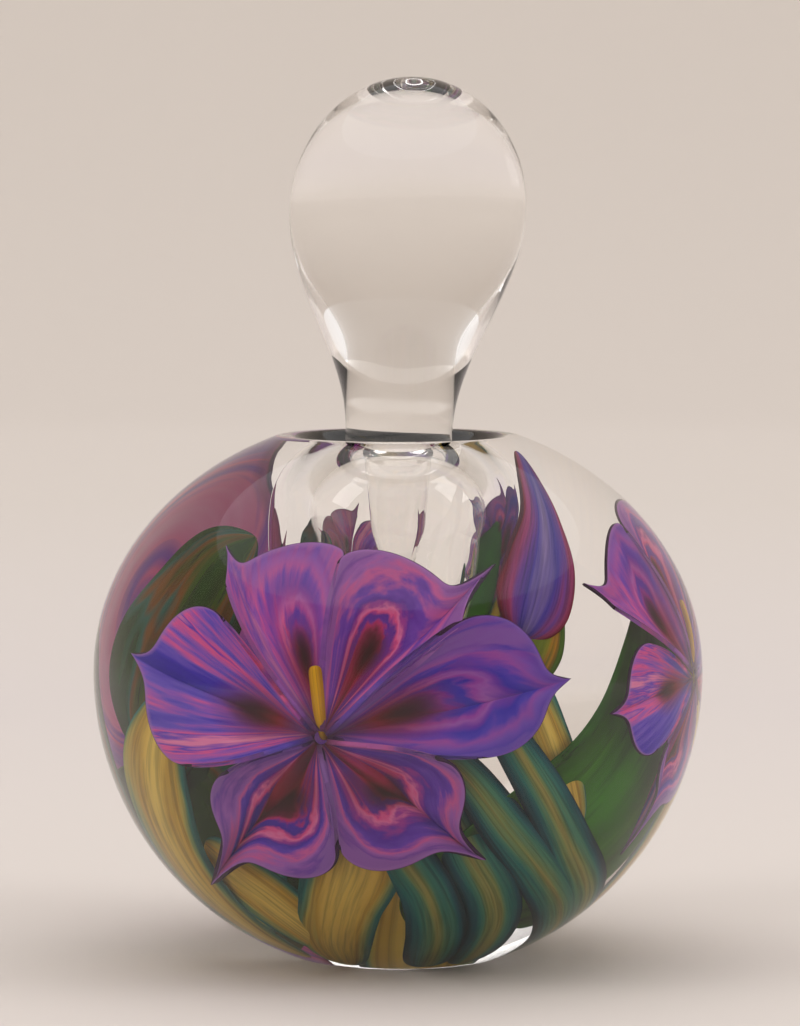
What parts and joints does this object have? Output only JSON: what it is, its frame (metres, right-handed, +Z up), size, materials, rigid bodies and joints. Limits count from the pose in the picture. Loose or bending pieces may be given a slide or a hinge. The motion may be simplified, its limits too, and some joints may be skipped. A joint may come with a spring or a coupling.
{
  "type": "perfume bottle",
  "caption": "Round solid-glass perfume bottle with iris-like glass flowers and leaves inlaid under a thick clear casing, a flat foot, a dished top and a lift-out ground bulb stopper.",
  "frame": {"origin": "centre of the flat foot, on the surface that the bottle stands on", "axes": "+Z up through the neck and the stopper; -Y is the front, where the large flower is; +X to the right as seen from the front"},
  "size_m": [0.122, 0.122, 0.1761],
  "materials": {
    "inner_gather": "clear blown glass, fire polished",
    "casing": "thick clear casing, fire polished, ground foot",
    "petal_pink": "feathered pink and crimson coloured glass",
    "petal_blue": "feathered blue and violet coloured glass",
    "stamen": "opaque yellow-ochre glass rod",
    "leaf": "ochre and teal streaked glass",
    "stem": "teal streaked glass",
    "green_ground": "dark green see-through glass",
    "calyx": "green and yellow streaked glass",
    "stopper": "solid clear glass, fire polished",
    "ground_plug": "clear glass with a finely ground taper"
  },
  "bodies": {
    "bottle": {"bubble_gather": "inner_gather", "leaf_gather": "inner_gather", "flower_gather": "inner_gather", "clear_casing": "casing", "petal_front_east": "petal_pink", "petal_front_north_east": "petal_blue", "petal_front_north": "petal_pink", "petal_front_west": "petal_blue", "petal_front_south_west": "petal_pink", "petal_front_south_east": "petal_blue", "petal_right_east": "petal_pink", "petal_right_north_east": "petal_blue", "petal_right_north": "petal_pink", "petal_right_west": "petal_blue", "petal_right_south_west": "petal_pink", "petal_right_south_east": "petal_blue", "petal_back_east": "petal_pink", "petal_back_north_east": "petal_blue", "petal_back_north": "petal_pink", "petal_back_west": "petal_blue", "petal_back_south_west": "petal_pink", "petal_back_south_east": "petal_blue", "stamen_front": "stamen", "stamen_right": "stamen", "stamen_back": "stamen", "leaf_left": "leaf", "leaf_low_left": "leaf", "leaf_centre": "leaf", "leaf_right": "leaf", "leaf_under_right": "leaf", "leaf_behind_right": "leaf", "leaf_behind": "leaf", "leaf_behind_left": "leaf", "stem_edge": "stem", "stem_teal": "stem", "stem_diagonal": "stem", "stem_right": "stem", "stem_under_right": "stem", "stem_behind": "stem", "ground_left": "green_ground", "ground_right": "green_ground", "ground_back": "green_ground", "ground_back_left": "green_ground", "bud": "petal_blue", "bud_calyx": "calyx"},
    "stopper": {"stopper_head": "stopper", "stopper_plug": "ground_plug"}
  },
  "joints": [
    {"name": "stopper_lift", "type": "slide", "parent": "bottle", "child": "stopper", "axis": [0, 0, 1], "range_m": [0, 0.045]}
  ]
}
